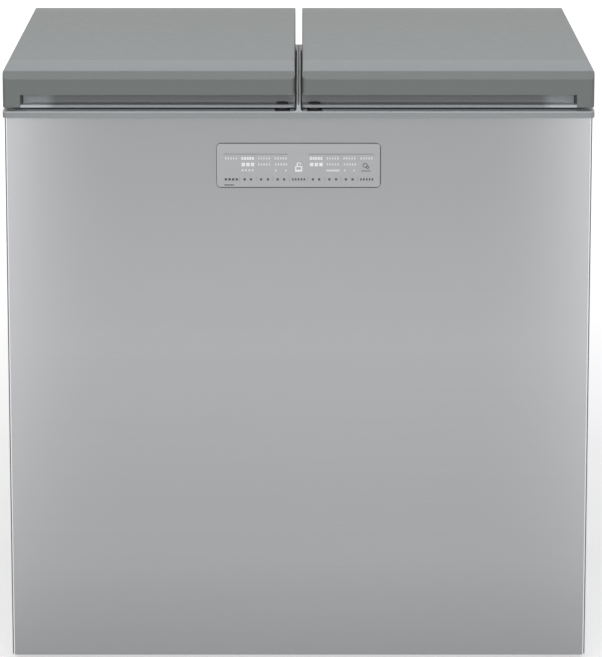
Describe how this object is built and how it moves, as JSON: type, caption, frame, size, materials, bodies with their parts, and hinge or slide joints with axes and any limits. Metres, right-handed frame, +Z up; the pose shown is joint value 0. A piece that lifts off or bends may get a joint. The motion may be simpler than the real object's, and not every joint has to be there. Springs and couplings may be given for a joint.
{
  "type": "kimchi refrigerator",
  "caption": "Chest-type kimchi refrigerator with paired top lids hinged at the back, brushed front panel, control fascia, insulated wells, rear rollers and a louvred machine-room cover.",
  "frame": {"origin": "on the floor, under the middle of the bounding box", "axes": "+X to the right seen from the front, +Y from the front to the back, +Z up"},
  "size_m": [0.88, 0.78, 0.915],
  "materials": {
    "front_steel": "brushed steel sheet with fine level hairlines",
    "side_steel": "painted steel sheet, satin grey",
    "lid_paint": "satin grey paint",
    "handle_plastic": "moulded plastic, matt dark grey",
    "frame_plastic": "moulded plastic, grey",
    "fascia_film": "printed film, silver grey",
    "galvanised": "galvanised steel sheet",
    "liner_metal": "embossed aluminium sheet",
    "insulation": "rigid polyurethane foam",
    "rubber": "black rubber",
    "gasket_rubber": "grey magnetic gasket",
    "copper": "copper tube",
    "black_paint": "black enamel",
    "black_plastic": "black moulded plastic",
    "white_plastic": "white moulded plastic",
    "circuit_board": "circuit board",
    "hinge_steel": "nickel-plated steel"
  },
  "bodies": {
    "cabinet": {"front_panel": "front_steel", "rear_panel": "galvanised", "base_frame": "galvanised", "cabinet_foam": "insulation", "floor_plate": "galvanised", "top_frame": "frame_plastic", "control_fascia": "fascia_film", "control_housing": "black_plastic", "display_board": "circuit_board", "compressor": "black_paint", "condenser": "copper", "discharge_pipe": "copper", "suction_pipe": "copper", "dryer": "copper", "fan_shroud": "black_plastic", "fan_motor": "galvanised", "main_board_box": "white_plastic", "main_board": "circuit_board", "machine_room_cover": "galvanised", "cord_grommet": "rubber", "left_side_panel": "side_steel", "left_liner": "liner_metal", "left_evaporator": "copper", "left_roller_axle": "hinge_steel", "left_wall_spacer": "black_plastic", "left_inner_hinge_base": "hinge_steel", "left_outer_hinge_base": "hinge_steel", "left_inner_hinge_pin": "hinge_steel", "left_outer_hinge_pin": "hinge_steel", "right_side_panel": "side_steel", "right_liner": "liner_metal", "right_evaporator": "copper", "right_roller_axle": "hinge_steel", "right_wall_spacer": "black_plastic", "right_inner_hinge_base": "hinge_steel", "right_outer_hinge_base": "hinge_steel", "right_inner_hinge_pin": "hinge_steel", "right_outer_hinge_pin": "hinge_steel"},
    "left_lid": {"left_lid_cover": "lid_paint", "left_lid_handle": "handle_plastic", "left_lid_bumper": "rubber", "left_lid_inner_panel": "white_plastic", "left_lid_foam": "insulation", "left_lid_gasket": "gasket_rubber", "left_inner_hinge_arm": "hinge_steel", "left_outer_hinge_arm": "hinge_steel"},
    "right_lid": {"right_lid_cover": "lid_paint", "right_lid_handle": "handle_plastic", "right_lid_bumper": "rubber", "right_lid_inner_panel": "white_plastic", "right_lid_foam": "insulation", "right_lid_gasket": "gasket_rubber", "right_inner_hinge_arm": "hinge_steel", "right_outer_hinge_arm": "hinge_steel"},
    "left_foot": {"left_front_foot": "rubber"},
    "left_roller": {"left_rear_roller": "white_plastic"},
    "right_foot": {"right_front_foot": "rubber"},
    "right_roller": {"right_rear_roller": "white_plastic"},
    "fan": {"condenser_fan": "black_plastic"}
  },
  "joints": [
    {"name": "left_lid_hinge", "type": "hinge", "parent": "cabinet", "child": "left_lid", "pos_m": [-0.22225, 0.362, 0.865], "axis": [-1, 0, 0], "range_deg": [0, 80]},
    {"name": "left_foot_screw", "type": "hinge", "parent": "cabinet", "child": "left_foot", "pos_m": [-0.385, -0.313, 0.03], "axis": [0, 0, 1], "continuous": true},
    {"name": "left_roller_spin", "type": "hinge", "parent": "cabinet", "child": "left_roller", "pos_m": [-0.385, 0.305, 0.016], "axis": [1, 0, 0], "continuous": true},
    {"name": "right_lid_hinge", "type": "hinge", "parent": "cabinet", "child": "right_lid", "pos_m": [0.22225, 0.362, 0.865], "axis": [-1, 0, 0], "range_deg": [0, 80]},
    {"name": "right_foot_screw", "type": "hinge", "parent": "cabinet", "child": "right_foot", "pos_m": [0.385, -0.313, 0.03], "axis": [0, 0, 1], "continuous": true},
    {"name": "right_roller_spin", "type": "hinge", "parent": "cabinet", "child": "right_roller", "pos_m": [0.385, 0.305, 0.016], "axis": [1, 0, 0], "continuous": true},
    {"name": "fan_spin", "type": "hinge", "parent": "cabinet", "child": "fan", "pos_m": [-0.268, 0.275, 0.0928], "axis": [1, 0, 0], "continuous": true}
  ]
}
